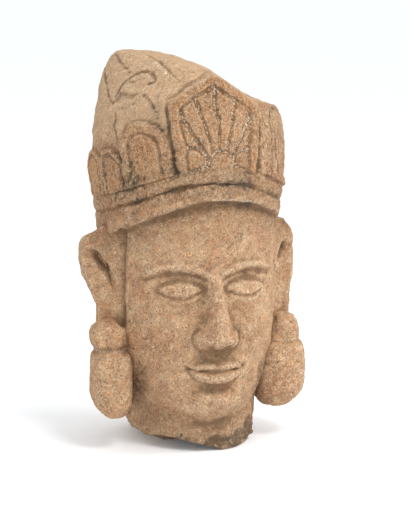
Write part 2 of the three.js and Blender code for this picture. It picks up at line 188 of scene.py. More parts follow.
def mouth(x, z):
    """Two closed lips on a soft mound, with a dip above the upper lip and a fold below the lower."""
    half = EYE_WIDTH * 0.8
    taper = np.sqrt(np.clip(1 - (x / half) ** 2, 0, 1))
    up = z - MOUTH - 1.6 * (x / half) ** 2
    bow = 7.2 * taper - 1.4 * hump(x, 3.5)
    upper = 3.6 * ramp(up, 0, 1.2) * ramp(bow - up, 0, 2.2) * taper ** 0.5
    full = 8.6 * taper
    rolled = np.sqrt(np.clip(1 - ((-up / np.maximum(full, 0.1)) * 2 - 1) ** 2, 0, 1))
    lower = 4.6 * taper ** 0.5 * rolled * (up < 0)
    seam = -1.3 * hump(up, 0.9) * ramp(half + 3 - np.abs(x), 0, 3)
    corner = -1.6 * hump(np.abs(x) - half - 0.5, 2.6) * hump(up, 3.2)
    mound = 3 * hump(x, 24) * hump(up, 16)
    philtrum = -0.9 * hump(x, 2.2) * hump(z - (MOUTH + NOSE_BASE) / 2 - 2.5, 4.5)
    fold = -2.2 * hump(x, 15) * hump(z - LIP_FOLD, 4.2)
    return upper + lower + seam + corner + mound + philtrum + fold


def face_relief(x, z):
    """Everything carved on the face, outwards from the plain head, for a point x across and z up."""
    cheeks = 2.5 * hump(np.abs(x) - 31, 14) * hump(z - NOSE_BASE - 10, 18)
    chin = 5 * hump(x, 14) * hump(z - CHIN - 10, 9)
    return nose(x, z) + eyes(x, z) + mouth(x, z) + cheeks + chin


# The crown stands on a band of two rolls that runs high over the forehead and low over the ears. A five-sided
# plaque with a fan of leaves stands over the forehead, and three petals on each side lean away from it.
BAND_HEIGHT, BAND_DROP = 19.0, 25.0
GROOVE, UPPER_ROLL, LOWER_STAND = 0.44, dict(middle=0.74, half=0.30, stand=5.0), 3.8
CROWN_LEAN = 0.1
CUT_WIDTH, CUT_DEPTH = 1.2, 0.9
CROWN_WALL = [(137, CROWN_RADIUS - 1), (182, CROWN_RADIUS + 1), (212, CROWN_RADIUS), (262, CROWN_RADIUS - 9)]
PLAQUE = dict(foot_half=25.5, shoulder_half=34.5, shoulder=42.0, height=61.0, stand=5.0, frame=6.6)
PLAQUE_TURN = math.radians(1)
ROOF_SLOPE = (PLAQUE["height"] - PLAQUE["shoulder"]) / PLAQUE["shoulder_half"]
SIDE_SLOPE = (PLAQUE["shoulder_half"] - PLAQUE["foot_half"]) / PLAQUE["shoulder"]
FAN = dict(leaves=6, spread=math.radians(17), foot=-3.0)
HUB = dict(x=1.0, across=8.8, rise=12.5)
HALF_LEAF = dict(x=17.5, up=7.0, across=8.5, rise=6.3)
# Petals: direction of the foot in degrees, half width, height, lean, width of the border, stand
PETALS = [(-40.3, 17.3, 37.5, 0.21, 6.6, 4), (-62.5, 12.2, 25.5, 0.4, 3.8, 3.2), (-86, 12, 29, 0.3, 4, 2.3),
          (49, 22, 56, 0.15, 12, 3.5), (80, 12.5, 44, 0.2, 4, 3), (103, 10, 30, 0.3, 4, 2.3)]


def band_foot(theta):
    """The band's lower edge: the hairline, less a bell-shaped drop towards the ears."""
    return HAIRLINE - BAND_DROP * (1 - hump(theta, 1.05))


def band_sag(theta):
    """How far the band's lower roll hangs below the band's foot, most at the figure's right."""
    return 1.5 + 5 * hump(theta + 1.2, 0.75)


def crown_radius(theta, z):
    """The crown's plain wall: a circle whose centre moves back as it rises, because the crown leans. It is
    a little fuller at the figure's left, and above the band at the right of the back."""
    lean = CROWN_LEAN * (z - 177)
    fuller = 1.6 * hump(theta - 1.25, 0.5) * ramp(z, 150, 190)
    fuller = fuller + 1.5 * hump(theta + 1.88, 0.35) * hump(z - 182, 14)
    return fuller - lean * np.cos(theta) + np.sqrt(along(CROWN_WALL, z) ** 2 - (lean * np.sin(theta)) ** 2)


def band_relief(theta, z):
    """Two half-round rolls, one over the other, with a groove between them."""
    up = (z - band_foot(theta) + drift(theta, z, 15)) / BAND_HEIGHT
    lip = -band_sag(theta) / BAND_HEIGHT - 0.08
    upper = np.abs((up - UPPER_ROLL["middle"]) / UPPER_ROLL["half"])
    lower = np.abs((2 * up - GROOVE - lip) / (GROOVE - lip))
    upper = UPPER_ROLL["stand"] * np.clip(1 - upper ** 2.4, 0, 1) ** 0.52
    lower = LOWER_STAND * np.clip(1 - lower ** 2.4, 0, 1) ** 0.52
    fade = 0.15 + 0.85 * hump(theta + 0.25, 1.1) ** 0.8
    uneven = 1 + 0.25 * drift(theta, z, 17)
    return np.maximum(upper, lower) * fade * uneven + (1 - fade) * hump(up - 0.5, 0.5)


def drift(theta, z, seed):
    """How far a hand-cut line strays at a place, in millimetres."""
    wall = np.stack([CROWN_RADIUS * np.sin(theta), -CROWN_RADIUS * np.cos(theta), z + 0 * theta], -1)
    return 1.0 * cloud(wall, 13, seed) + 0.55 * cloud(wall, 4.5, seed + 1)


def petals(theta, z):
    """The petals: an arch with leaning straight sides, a round border, a line cut inside it and a swelling
    middle. Gives how far each point stands out, how much it is on a petal, on a line and on a middle."""
    stray_u, stray_v = drift(theta, z, 11), drift(theta, z, 13)
    stand, on, line, middles = (np.zeros_like(theta + z) for _ in range(4))
    fade = 1 - 0.3 * ramp(theta, 0.95, 1.35)
    for middle, half, height, lean, border, proud in PETALS:
        middle = math.radians(middle)
        v = z - band_foot(middle) - BAND_HEIGHT + 2 + stray_v
        u = (theta - middle) * CROWN_RADIUS - np.sign(middle) * lean * v + stray_u
        rise = min(half, 16) * 1.05
        reach = np.hypot(u / half, np.maximum(0, v - height - 2 + rise) / rise)
        inset = (1 - reach) * half
        inside = ramp(inset, -1.8, 0.4)
        cut = hump(inset - border, CUT_WIDTH)
        swell = ramp(inset, border - 0.5, border + 5)
        rounded = 0.7 * hump(inset - border / 2, border / 2)
        body = proud * fade - 0.8 * np.clip(v / height, 0, 1) + rounded + 0.4 * swell
        free = 1 - on
        stand += free * (inside * (body - CUT_DEPTH * cut ** 2) - 0.5 * hump(inset + 2.8, 1.3) * (v > -1))
        line += free * inside * cut
        middles += free * swell
        on += free * inside
    return stand, on, line, middles


def plaque(theta, z):
    """The plaque: a round frame, and a sunk field with a half-round hub, leaves fanned about it with round
    tips, and half a leaf in each lower corner. Gives the stand, the distance inwards from its outline, how
    much each point is on a line and on the field."""
    u = (theta - PLAQUE_TURN) * CROWN_RADIUS + drift(theta, z, 21)
    v = z - band_foot(PLAQUE_TURN) - BAND_HEIGHT + 2 + drift(theta, z, 23) + 0.04 * u
    roof = (PLAQUE["height"] - ROOF_SLOPE * np.abs(u) - v) / math.hypot(1, ROOF_SLOPE)
    side = (PLAQUE["foot_half"] + SIDE_SLOPE * v - np.abs(u)) / math.hypot(1, SIDE_SLOPE)
    inset = soft_min(roof, side, 2.5)
    deep = inset - PLAQUE["frame"]
    away, turn = np.hypot(u, v - FAN["foot"]), np.arctan2(u, v - FAN["foot"])
    nearest = np.clip(np.round(turn / FAN["spread"]), -FAN["leaves"] / 2, FAN["leaves"] / 2)
    leaf = soft_min(np.abs(turn - nearest * FAN["spread"]) * away, deep + 0.8, 1.6)
    hub = 1 - np.hypot((u - HUB["x"]) / HUB["across"], (v - 0.5) / HUB["rise"])
    half_leaf = 1 - np.hypot((np.abs(u) - HALF_LEAF["x"]) / HALF_LEAF["across"],
                             (v - HALF_LEAF["up"]) / HALF_LEAF["rise"])
    hub, half_leaf = hub * HUB["across"], half_leaf * HALF_LEAF["rise"]
    swell = np.where(hub > 0, 0.8 * ramp(hub, 0, 4), np.where(half_leaf > 0, 0.6 * ramp(half_leaf, 0, 3),
                                                            0.9 * ramp(leaf, 0, 2)))
    lines = np.where(hub > 0, 0, np.where(half_leaf > 0, 0, hump(leaf, CUT_WIDTH)))
    lines = np.maximum(lines, np.maximum(hump(hub, CUT_WIDTH), hump(half_leaf, CUT_WIDTH) * (hub < 0)))
    on_field = ramp(deep, -0.8, 0.6)
    lines = np.maximum(lines * on_field, 0.9 * hump(deep, CUT_WIDTH))
    frame_half = PLAQUE["frame"] / 2
    rounded = 0.7 * np.clip(1 - ((inset - frame_half) / frame_half) ** 2, 0, 1)
    field = PLAQUE["stand"] - 0.9 + swell
    stand = PLAQUE["stand"] + rounded + (field - PLAQUE["stand"] - rounded) * on_field
    stand = stand - CUT_DEPTH * lines ** 2
    return stand, inset, lines * ramp(inset, -1, 0.5), on_field * (1 - lines)


RIM = dict(least=4.5, more=21, middle=math.radians(-70), spread=math.radians(50))


def rim_wear(theta):
    """How far the crown's rim is worn round: a little at the figure's left, deeply at its right front."""
    return RIM["least"] + RIM["more"] * hump(theta - RIM["middle"], RIM["spread"])


# The height of the broken top, by how far a point lies towards the figure's left front
BREAK = [(-45, 259.5), (-15, 256), (0, 252), (16, 246), (29, 236.5), (41, 228.5), (52, 225), (70, 224)]


def top_height(x, y):
    """The broken top: nearly level on the figure's right, then a slope to its left front with a ledge at
    its foot."""
    return along(BREAK, 0.95 * x - 0.3 * y)


def rim_height(theta):
    """The top of the worn rim, in the direction theta. Over the plaque's right half the plaque is the rim."""
    radius = crown_radius(theta, 237.0) - rim_wear(theta)
    u = np.abs(theta - PLAQUE_TURN) * CROWN_RADIUS
    roof = band_foot(PLAQUE_TURN) + BAND_HEIGHT - 2 + PLAQUE["height"] - ROOF_SLOPE * u
    roof = roof - 400 * ramp(u, PLAQUE["shoulder_half"] - 1, PLAQUE["shoulder_half"] + 6)
    return soft_max(top_height(radius * np.sin(theta), -radius * np.cos(theta)), roof + 1.5, 2) - 0.3


def rim_start(theta):
    """Where the wall begins to turn in to the worn rim."""
    return rim_height(theta) - 1.35 * rim_wear(theta)


def stone_radius(theta, z):
    """The whole block's distance from its axis: the face below the band, the crown above it, the back cut
    nearly flat, and the rim worn round along a quarter of an ellipse. Beside the plaque a little stone is
    left standing between it and the petals."""
    head = head_radius(theta, z)
    face = head + ramp(np.cos(theta), 0.1, 0.5) * face_relief(head * np.sin(theta), z)
    rise = np.clip((z - rim_start(theta)) / (rim_height(theta) - rim_start(theta)), 0, 1)
    worn = rim_wear(theta) * (1 - np.sqrt(1 - rise ** 2))
    wall = crown_radius(theta, z)
    above = z - band_foot(theta)
    clear = ramp(above, BAND_HEIGHT - 2.5, BAND_HEIGHT)
    stand, on_petal, _, _ = petals(theta, z)
    shape, inset, _, _ = plaque(theta, z)
    crown = wall - worn + np.maximum(band_relief(theta, z), stand * clear)
    crown = crown + (1 - on_petal) * (1.8 + 0.6 * drift(theta, z, 25)) * hump(inset + 4.5, 4) * clear
    on_plaque = ramp(inset, -2.2, 0.2) * clear
    crown = crown + (wall + shape - crown) * on_plaque
    radius = face + (crown - face) * ramp(above + band_sag(theta), -2.0, -0.2)
    flat = np.where(np.cos(theta) < -0.2, -BACK_FACE / np.minimum(np.cos(theta), -0.2), 4 * BACK_FACE)
    return soft_min(radius, flat, 6)


def neck_edge(theta):
    """How far the lower edge of the neck is worn round."""
    return 4 + 4 * hump(theta - math.radians(50), math.radians(28)) + hump(theta + math.radians(62), 0.73)


def underside(x, y):
    """The break under the neck: flat where it stands, rising to the figure's right and at its right front."""
    chipped = 0.24 * np.maximum(0, 8 - x) * ramp(-y, 8, 32)
    return np.maximum(0.33 * np.maximum(0, -x - 18), chipped)


COLUMNS = 300
ROWS = dict(base=5, edge=6, neck=9, face=102, band=28, wall=66, rim=24, top=44)


def block_rows(theta):
    """The rings of the block, from the underside to the top, as distances from the axis and heights."""
    edge = neck_edge(theta)
    base = stone_radius(theta, edge) - edge
    base_z = underside(base * np.sin(theta), -base * np.cos(theta))
    rings = []
    for i in range(ROWS["base"]):
        radius = base * (i + 1) / (ROWS["base"] + 1)
        rings.append((radius, underside(radius * np.sin(theta), -radius * np.cos(theta))))
    for i in range(ROWS["edge"]):
        angle = i / ROWS["edge"] * np.pi / 2
        rings.append((base + edge * np.sin(angle), base_z + edge * (1 - np.cos(angle))))
    foot = band_foot(theta)
    stops = [base_z + edge, np.full_like(theta, CHIN), foot - band_sag(theta) - 2.4, foot + BAND_HEIGHT,
             rim_start(theta)]
    for name, start, end in zip(("neck", "face", "band", "wall"), stops, stops[1:]):
        for i in range(ROWS[name]):
            z = start + (end - start) * i / ROWS[name]
            rings.append((stone_radius(theta, z), z))
    for i in range(ROWS["rim"] + 1):
        z = stops[-1] + (rim_height(theta) - stops[-1]) * np.sin(i / ROWS["rim"] * np.pi / 2)
        rings.append((stone_radius(theta, z), z))
    rim, rim_z = rings[-1]
    lift = rim_z - top_height(rim * np.sin(theta), -rim * np.cos(theta))
    for i in range(1, ROWS["top"]):
        share = 1 - (i / ROWS["top"]) ** 1.2
        radius = rim * share
        top = top_height(radius * np.sin(theta), -radius * np.cos(theta))
        rings.append((radius, top + lift * share ** 3))
    return np.array(rings)


def closed_surface(name, grid, first, last):
    """A closed mesh from a grid of rings that turn from -X past the front to +X, with a point at each end."""
    rows, columns = grid.shape[:2]
    points = np.vstack([[first], grid.reshape(-1, 3), [last]])
    column = np.arange(columns)
    after = (column + 1) % columns
    row = 1 + np.arange(rows - 1)[:, None] * columns
    quads = np.stack([row + column, row + after, row + columns + after, row + columns + column], -1)
    top = 1 + (rows - 1) * columns
    ends = np.vstack([np.stack([np.zeros_like(column), 1 + after, 1 + column], -1),
                      np.stack([top + column, top + after, np.full_like(column, len(points) - 1)], -1)])
    mesh = bpy.data.meshes.new(name)
    mesh.from_pydata((points * MM).tolist(), [], quads.reshape(-1, 4).tolist() + ends.tolist())
    mesh.update()
    piece = bpy.data.objects.new(name, mesh)
    bpy.context.scene.collection.objects.link(piece)
    return piece


# Columns are about three times closer over the face and the carved side of the crown than at the back
every = np.linspace(-np.pi, np.pi, 4001)
closeness = np.cumsum(0.45 + ramp(every, -2.2, -1.7) * ramp(-every, -1.5, -1.0))
share = (closeness - closeness[0]) / (closeness[-1] - closeness[0])
directions = np.interp(np.arange(COLUMNS) / COLUMNS, share, every)
radii, heights = np.moveaxis(block_rows(directions), 1, 0)
rings = np.stack([radii * np.sin(directions), -radii * np.cos(directions), heights], -1)
block = closed_surface("sandstone", rings, (0, 0, 0), (0, 0, float(top_height(0.0, 0.0))))

# The ears are plates that slant out from the cheeks, left standing from the same block. Each has a rolled rim
# round a comma-shaped hollow, and a flat fold of skin between the hollow and the cheek. The figure's right
# ear narrows to its lobe, and the left one stays broad all the way down.
EAR_SPAN = node_high[0] - node_low[0] + 0.7
EAR_FOOT, EAR_TOP = 81.0, 148.0
EAR_ROOT_INWARD, EAR_ROOT_Y = 26, -23
EAR_SLOT, EAR_BOWL, EAR_RIM = 8, 3.4, 2.4
RIGHT_EAR = [(81, 16), (90, 19), (102, 25), (116, 32), (128, 34), (139, 31), (148, 17)]
LEFT_EAR = [(81, 27), (90, 29), (102, 31), (116, 33.5), (128, 34), (139, 31), (148, 17)]
EAR_FULL = 34.0
EAR_OUTWARD, EAR_FACING = np.array([0.75, 0.66]), np.array([0.66, -0.75])


def ear(side):
    """Rings up the ear, each out along its front from the cheek to the rim and back along its rear.
    A point is the ear's root, plus its reach outwards, plus its depth along the way the ear faces. The
    front is sunk by two bells, a narrow deep slot and a wide shallow bowl beside it, and raised at its rim
    by a third."""
    root = np.array([EAR_SPAN / 2 - EAR_ROOT_INWARD, EAR_ROOT_Y])
    t = np.linspace(0, 1, 50)[:, None]
    z = EAR_FOOT + (EAR_TOP - EAR_FOOT) * t
    width = along(LEFT_EAR if side > 0 else RIGHT_EAR, z)
    s = np.linspace(0, 1, 34)[None, :]
    reach = s * width / EAR_FULL
    middle = along([(0.28, 0.19), (0.42, 0.25), (0.52, 0.34), (0.6, 0.47), (0.72, 0.6)], t)
    fade = ramp(t, 0.37, 0.49) * ramp(0.76 - t, 0, 0.1)
    slot = -EAR_SLOT * hump(reach - middle, 0.042 + 0.04 * hump(t - 0.6, 0.12)) * fade
    bowl = -EAR_BOWL * hump(reach - middle - 0.09, 0.19) * ramp(t, 0.27, 0.45) * ramp(0.78 - t, 0, 0.1)
    front = 2 + slot + bowl + EAR_RIM * hump(s - 0.8, 0.13) - 3.5 * ramp(s, 0.84, 1) ** 1.5
    rear = -6 - 8 * s[:, ::-1] ** 2 + 0 * t
    reach = np.hstack([s * width, s[:, ::-1] * width])
    depth = np.hstack([front, rear[:, ::-1]])
    x = root[0] + EAR_OUTWARD[0] * reach + EAR_FACING[0] * depth
    y = root[1] + EAR_OUTWARD[1] * reach + EAR_FACING[1] * depth
    grid = np.stack([side * x, y, z + 0 * x], -1)
    if side < 0:
        grid = grid[:, ::-1]
    ends = grid[[0, -1]].mean(1)
    return closed_surface("ear", grid, ends[0], ends[1])


additions = [ear(-1), ear(1)]

# Each ear carries a drop of the same stone: a bead over a long heavy ball, both a little worn out of true,
# with a fine line cut between them. Each is given by its middle, its half width, half depth and half height.
RIGHT_DROP = dict(bead=(-61.0, -21.0, 75.5, 13.3, 13.0, 12.0),
                  ball=(-60.0, -23.0, 44.5, 14.5, 18.0, 24.0), shoulder=2.2)
LEFT_DROP = dict(bead=(61.0, -20.0, 71.5, 12.8, 12.5, 13.8),
                 ball=(57.8, -22.0, 44.5, 18.9, 20.5, 24.0), shoulder=0.9)
DROP_SEAM = 66.0


def ear_drop(bead, ball, shoulder, square=2.4, rows=84, columns=56):
    """A bead and a ball as one surface. Each is a ball made boxy: its width at a height is the root of 1
    less the height's power, with a power of 2.4 that grows by a given amount at the ball's shoulder. At
    every height the wider of the two counts, with the join rounded and a line cut at the seam. The middle
    moves from the ball's to the bead's as it rises, and the ball's foot leans towards the neck."""
    bead, ball = np.array(bead), np.array(ball)
    t = (1 - np.cos(np.linspace(0, np.pi, rows + 2)[1:-1, None])) / 2
    z = ball[2] - ball[5] + (bead[2] + bead[5] - ball[2] + ball[5]) * t
    widths = []
    for body, more in ((ball, shoulder), (bead, 0.0)):
        up = np.clip((z - body[2]) / body[5], -1, 1)
        power = square + more * ramp(up, 0, 0.5)
        widths.append((1 - np.abs(up) ** power) ** (1 / power))
    angle = np.linspace(-np.pi, np.pi, columns, endpoint=False)[None, :]
    across, ahead = np.sin(angle), -np.cos(angle)
    boxy = (np.abs(across) ** square + np.abs(ahead) ** square) ** (1 / square)
    rise = ramp(z, ball[2] + 10, bead[2])
    x, y = (ball[i] + (bead[i] - ball[i]) * rise for i in (0, 1))
    line = 0.9 * hump(z - DROP_SEAM, 0.9)
    half_x, half_y = (soft_max(ball[i] * widths[0], bead[i] * widths[1], 1.6) - 0.7 - line for i in (3, 4))
    x = x - np.sign(ball[0]) * 3 * np.clip((ball[2] - z) / ball[5], 0, 1) ** 2
    grid = np.stack([x + half_x * across / boxy, y + half_y * ahead / boxy, z + 0 * angle], -1)
    return closed_surface("ear drop", grid, grid[0].mean(0), grid[-1].mean(0))


additions += [ear_drop(**RIGHT_DROP), ear_drop(**LEFT_DROP)]

for addition in additions:
    joint = block.modifiers.new("join", "BOOLEAN")
    joint.operation, joint.solver, joint.object = "UNION", "MANIFOLD", addition
joined = bpy.data.meshes.new_from_object(block.evaluated_get(bpy.context.evaluated_depsgraph_get()))
block.modifiers.clear()
block.data = joined
for addition in additions:
    bpy.data.objects.remove(addition)

# Wear: the whole surface has lost stone, in soft hollows, in grains and pits, and in a few rough patches.
# Marks are cut in the bare side of the crown. A mark is a path of (turn, rise) in degrees about a point on
# the axis inside the crown, with its width and depth in millimetres and how pale and how dark it is.
# A mark's paleness is a painted highlight along the edges of its cut, and its darkness is painted shade in
# and beside the cut.
MARKS = [
    (0.5, 0.7, 0.1, 0.8, [(-90, 65), (-71, 65), (-52, 60), (-40, 54), (-34, 50), (-26, 44), (-23, 41.5)]),
    (0.6, 0.2, 0.9, 0.0, [(-55, 58), (-48, 55.5), (-43, 53), (-38, 49), (-33, 46)]),
    (0.7, 0.6, 0.1, 0.9, [(-115, 51), (-104, 51), (-92, 50), (-85, 49), (-75, 47)]),
    (0.8, 0.9, 0.1, 1.0, [(-121, 42), (-110, 41), (-104, 39), (-96, 37), (-88, 33), (-85, 30), (-76, 26),
                          (-72, 30)]),
    (0.9, 1.0, 0.3, 1.0, [(-76, 31), (-75, 36), (-74, 39), (-70, 44), (-67, 47), (-63, 49), (-58, 50),
                          (-52, 49), (-48, 47), (-44, 44), (-45, 41), (-49, 41)]),
    (0.8, 0.6, 0.4, 0.8, [(-71, 42), (-64, 41), (-60, 43)]),
    (0.9, 0.8, 0.4, 0.9, [(-76, 31), (-70, 33), (-63, 32), (-57, 33), (-51, 33), (-48, 32), (-44, 29),
                          (-41, 25)]),
    (0.8, 0.6, 0.5, 0.8, [(-75, 27), (-72, 29), (-65, 30), (-60, 30.5), (-54, 30)]),
    (0.7, 0.4, 0.5, 0.7, [(-71, 23), (-66, 24), (-62, 25), (-56, 27)]),
    (0.8, 0.7, 0.3, 0.9, [(-71, 20), (-70, 16), (-71, 12), (-69, 9), (-67, 6), (-67, 2)]),
    (0.8, 0.8, 0.4, 0.6, [(-95, -21), (-87, -25), (-76, -32)]),
    (0.8, 0.8, 0.3, 0.8, [(48, -17), (47.5, -5), (47.5, 8), (47, 19)]),
    (0.8, 0.7, 0.2, 0.6, [(29, -12), (28, 2), (28.5, 17)]),
]
MARKS_CENTRE = 200.0
WORN, PIT_DEPTH, SEAM_DEPTH = 0.5, 0.7, 3.6
SEAM_X, SEAM_Y, SEAM_WIDTH = 52.5, -25.5, 3.2
FULL_RECESS, FULL_HOLLOW = 0.35, 2.0


def read_points(mesh, kind="co"):
    """The mesh's vertex positions, or its normals where the kind is vector, as one array."""
    values = np.empty(len(mesh.vertices) * 3, np.float32)
    source = mesh.vertices if kind == "co" else mesh.vertex_normals
    source.foreach_get(kind, values)
    return values.reshape(-1, 3).astype(float)


def marks(points):
    """How deep, how pale and how dark the marks are at each point: a bell across each path, broken up by
    noise along it. Distances are taken on a sphere about the marks' centre, at the point's own radius."""
    x, y, z = points.T
    out = np.hypot(x, y)
    far = np.hypot(out, z - MARKS_CENTRE)
    turn, rise = np.arctan2(x, -y), np.arctan2(z - MARKS_CENTRE, out)
    ragged = 0.95 + 0.25 * cloud(points, 3.5, 31)
    stray = 0.6 * cloud(points, 5, 32)
    deep, pale, dark = np.zeros_like(x), np.zeros_like(x), np.zeros_like(x)
    for width, depth, paleness, darkness, path in MARKS:
        path = np.radians(path)
        nearest = np.full_like(x, 1e3)
        for (turn0, rise0), (turn1, rise1) in zip(path, path[1:]):
            narrow = math.cos((rise0 + rise1) / 2)
            leg = np.array([(turn1 - turn0) * narrow, rise1 - rise0])
            gone = np.stack([(turn - turn0) * narrow, rise - rise0], -1)
            share = np.clip(gone @ leg / (leg @ leg), 0, 1)
            nearest = np.minimum(nearest, np.hypot(*(gone - share[:, None] * leg).T) * far)
        nearest = nearest + stray * (nearest < 4)
        deep = np.maximum(deep, depth * hump(nearest, width) * ragged)
        dark = np.maximum(dark, darkness * hump(nearest, width + 0.9) * ragged)
        pale = np.maximum(pale, paleness * hump(nearest - width, width) * ragged)
    return deep, np.clip(pale, 0, 1), np.clip(dark, 0, 1)


def smoothed(values, pairs, rounds):
    """Values at the mesh's points, averaged with their neighbours' again and again."""
    first, second = pairs
    count = np.bincount(np.concatenate(pairs), minlength=len(values))[:, None]
    for _ in range(rounds):
        total = np.stack([np.bincount(first, values[second, k], len(values))
                          + np.bincount(second, values[first, k], len(values))
                          for k in range(values.shape[1])], -1)
        values = values / 2 + total / count / 2
    return values


points, outward = read_points(joined) / MM, read_points(joined, "vector")
x, y, z = points.T
theta = np.arctan2(x, -y)
crown_part = ramp(z - band_foot(theta), 0, 3)
near_foot = ramp(14 - z, 0, 10)
cut, pale_mark, dark_mark = marks(points)
seam = hump(np.hypot(np.abs(x) - SEAM_X, y - SEAM_Y + 0.08 * np.maximum(z - 120, 0)), SEAM_WIDTH)
seam = seam * ramp(z, 70, 92) * ramp(band_foot(theta) - band_sag(theta) - z, -2.5, 0.5)
_, on_petal, petal_line, petal_middle = petals(theta, z)
_, plaque_inset, plaque_line, plaque_field = plaque(theta, z)
on_wall = ramp(np.hypot(x, y) - crown_radius(theta, z) + rim_wear(theta), -4, -1)
on_petal, petal_line, petal_middle = (value * on_wall for value in (on_petal, petal_line, petal_middle))
on_plaque = ramp(plaque_inset, -1, 1) * crown_part * on_wall

carved = crown_part * np.maximum(ramp(205 - z, 0, 12), np.maximum(on_petal, on_plaque)) * ramp(-y, -5, 15)
hollows = 0.6 * cloud(points, 17, 1) + 0.5 * cloud(points, 7, 2) * (1 + 0.5 * carved)
grain = (0.3 * cloud(points, 3.4, 3) + 0.3 * cloud(points, 1.9, 4)) * (1 + 0.5 * carved)
pits = ramp(cloud(points, 2.6, 5), 0.4, 0.7) * ramp(cloud(points, 14, 6) + 0.4 * carved, -0.1, 0.6)
rough = near_foot * (0.9 + 1.3 * cloud(points, 5, 7))
rough = rough + hump(theta - 0.85, 0.4) * ramp(22 - z, 0, 8) * (1.2 + 1.8 * cloud(points, 4, 9))
lost = WORN - hollows - grain + PIT_DEPTH * pits + cut + rough + SEAM_DEPTH * seam
level = ramp(z, 0.2, 3.0)
points = points - outward * (np.maximum(lost, 0) * level)[:, None]
points = np.clip(points, node_low + 0.05, node_high - 0.05)
points[:, 2] = np.where(z < 0.2, z, np.maximum(points[:, 2], 0.0))
joined.vertices.foreach_set("co", (points * MM).astype(np.float32).ravel())
joined.update()

edges = np.empty(len(joined.edges) * 2, np.int32)
joined.edges.foreach_get("vertices", edges)
pairs = edges.reshape(-1, 2).T
outward = read_points(joined, "vector")
# How far each point lies below its neighbours, nearby and over a broad reach. In the colours the broad
# measure becomes painted shade, and the near one dirt and painted shade.
fine = smoothed(points, pairs, 5)
broad = smoothed(fine, pairs, 60)
recess = np.einsum("ij,ij->i", fine - points, outward)
hollow_shade = np.einsum("ij,ij->i", broad - points, outward)

# Soot and lichen have kept to some hollows, and the broken edge of the neck is dirty: direction in degrees,
# height, half size in mm, amount
STAINS = [(-51, 178, 9, 1.25), (-61, 171, 6, 0.9), (17, 177, 8, 1), (8, 178, 6, 0.9), (-3, 178, 6, 0.6),
          (-47, 166, 5, 0.6), (-41, 225, 6, 0.5), (-37, 221, 7, 0.6), (-33, 213, 6, 0.6), (-25, 200, 7, 0.4),
          (-25, 187, 8, 0.75), (26, 181, 6, 0.4), (-55, 188, 7, 0.6), (7, 169, 5, 0.7), (22, 165, 6, 0.8),
          (-12, 188, 6, 0.5), (-10, 173, 6, 0.5), (-28, 173, 6, 0.5), (-49, 157, 5, 0.8), (40, 10, 9, 1.8),
          (22, 5, 9, 1.8), (2, 4, 9, 1.7), (-20, 4, 8, 1.4), (58, 8, 9, 1.6), (50, 2, 8, 1.6)]
stains = np.zeros_like(x)
for stain_turn, stain_z, size, amount in STAINS:
    across = (theta - math.radians(stain_turn)) * np.hypot(x, y)
    stains = np.maximum(stains, amount * hump(np.hypot(across, (z - stain_z) * 1.2), size) * (y < 20))

# Painted shade lies in the seams between the ears and the cheeks, beside the balls, on the neck below the
# chin and just below the band, and the band itself is given a darker tone.
shade_and_band_tone = 0.9 * seam
for ball in (RIGHT_DROP["ball"], LEFT_DROP["ball"]):
    reach = np.sum(np.abs((points - ball[:3]) / ball[3:]) ** 4, axis=1) ** 0.25
    beside = ramp(1.65 - reach, 0, 0.45) * ramp(reach, 1.0, 1.08)
    shade_and_band_tone = np.maximum(shade_and_band_tone, 1.35 * beside * ramp(62 - z, 0, 8))
above = z - band_foot(theta)
on_band = ramp(above + band_sag(theta), -1, 1) * ramp(BAND_HEIGHT - above, -2, 0)
under_band = hump(above + band_sag(theta) + 2, 15) * ramp(-above - band_sag(theta), -2, 0) * ramp(-y, 0, 20)
shade_and_band_tone = np.maximum(shade_and_band_tone, np.maximum(0.3 * on_band, 0.9 * under_band))
shade_and_band_tone = np.maximum(shade_and_band_tone, 0.55 * ramp(31 - z, 0, 12) * ramp(-y, 0, 20) * ramp(50 - np.abs(x), 0, 5))
bare = crown_part * (1 - on_plaque) * (1 - on_petal)
# A painted highlight along the lower edge of the band over the front.
lip_highlight = hump(z - band_foot(theta) + band_sag(theta) + 0.1, 0.9) * ramp(theta, -0.15, 0)
lip_highlight = lip_highlight * ramp(-theta, -0.58, -0.45)
above_band = ramp(above, BAND_HEIGHT - 2, BAND_HEIGHT)
warm_plaque = on_plaque * above_band * (1 - 0.45 * plaque_field)
warm_petal = above_band * np.maximum(petal_middle, 0.5 * on_petal) + 0.35 * on_band
drop_seam = 0.6 * hump(z - DROP_SEAM - 1.4, 0.9) * (np.abs(x) > 47)
attributes = dict(
    recess=np.clip(recess / FULL_RECESS, -1, 1) * 0.5 + 0.5,
    hollow_shade=np.clip(hollow_shade / FULL_HOLLOW, -1, 1) * 0.5 + 0.5,
    line=np.clip(np.maximum(plaque_line * on_plaque, 0.9 * petal_line * crown_part * (1 - on_plaque)), 0, 1)
    * above_band,
    warm=np.clip(np.maximum(warm_plaque, warm_petal * (1 - on_plaque)), 0, 1) * ramp(0.7 - theta, 0, 0.2)
    + 0.45 * ramp(88 - z, 0, 6) * ramp(np.abs(x), 42, 47),
    carved=carved,
    pale=np.maximum(pale_mark * crown_part, np.maximum(lip_highlight, drop_seam)),
    dark=dark_mark * crown_part,
    stains=stains,
    shade_and_band_tone=shade_and_band_tone,
    bare=bare * ramp(z, 195, 215),
)
for name, values in attributes.items():
    joined.attributes.new(name, "FLOAT", "POINT").data.foreach_set("value", values.astype(np.float32))
triangles = sum(len(polygon.vertices) - 2 for polygon in joined.polygons)
print("joined", len(joined.vertices), "points", triangles, "triangles")

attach(block, "root")
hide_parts(NODE)
joined.polygons.foreach_set("use_smooth", np.ones(len(joined.polygons), bool))

# Which of a node's outputs is wanted, where it isn't the first
OBJECT_COORDINATES, ATTRIBUTE_VALUE, MIXED_COLOUR = 3, 2, 2


